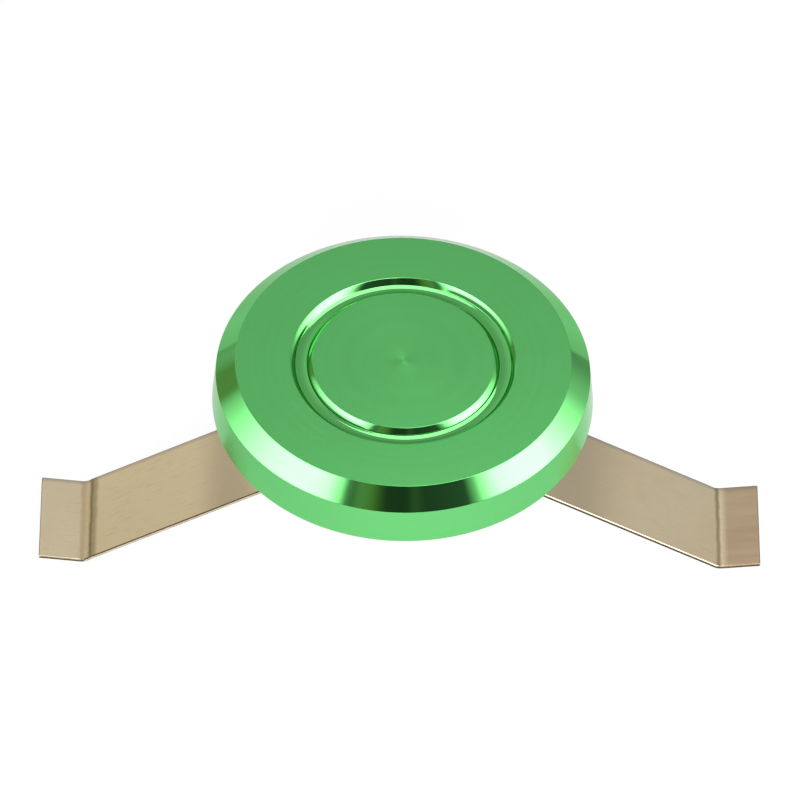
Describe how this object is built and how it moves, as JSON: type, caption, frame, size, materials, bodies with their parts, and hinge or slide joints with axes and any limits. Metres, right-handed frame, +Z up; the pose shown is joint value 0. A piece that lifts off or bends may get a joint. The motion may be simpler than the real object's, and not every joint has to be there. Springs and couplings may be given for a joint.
{
  "type": "fidget spinner",
  "caption": "Round turned aluminium spinner disc with a ring groove round its finger pad, on a ball bearing, standing on a bent spring strip with two feet.",
  "frame": {"origin": "on the floor under the spin axis, midway between the two feet", "axes": "+Z up along the spin axis, X along the spring strip from foot to foot, Y across the strip"},
  "size_m": [0.096, 0.05, 0.0328],
  "materials": {
    "anodised_flywheel": "satin green anodised, fine turned, polished bevel",
    "anodised_cap": "satin green anodised, fine turned",
    "spring_strip_steel": "brushed along its length, warm nickel tone",
    "turned_stainless": "fine turned",
    "bearing_steel": "ground and polished",
    "cage_steel": "pressed",
    "shield_steel": "pressed",
    "circlip_steel": "phosphated, oiled",
    "fastener_steel": "bright"
  },
  "bodies": {
    "stand": {"spring_strip": "spring_strip_steel"},
    "hub": {"hub_axle": "turned_stainless", "finger_cap": "anodised_cap", "bearing_inner_race": "bearing_steel", "flat_washer": "fastener_steel", "split_washer": "fastener_steel", "clamp_screw": "fastener_steel"},
    "rotor": {"flywheel": "anodised_flywheel", "bearing_outer_race": "bearing_steel", "bearing_shield_top": "shield_steel", "bearing_shield_bottom": "shield_steel", "shield_snap_ring_top": "shield_steel", "shield_snap_ring_bottom": "shield_steel", "bearing_circlip": "circlip_steel"},
    "ball_set": {"bearing_balls": "bearing_steel", "bearing_cage_upper": "cage_steel", "bearing_cage_lower": "cage_steel", "bearing_cage_rivets": "cage_steel"}
  },
  "joints": [
    {"name": "stand_flex", "type": "slide", "parent": "stand", "child": "hub", "axis": [0, 0, -1], "range_m": [0, 0.005], "stiffness_N_per_m": 2000, "springref_m": -0.0002, "deforming": ["spring_strip"]},
    {"name": "flywheel_spin", "type": "hinge", "parent": "hub", "child": "rotor", "pos_m": [0, 0, 0.028], "axis": [0, 0, 1], "continuous": true},
    {"name": "ball_orbit", "type": "hinge", "parent": "hub", "child": "ball_set", "pos_m": [0, 0, 0.028], "axis": [0, 0, 1], "continuous": true}
  ],
  "couplings": [
    {"joint": "ball_orbit", "follows": "flywheel_spin", "ratio": 0.60415}
  ]
}
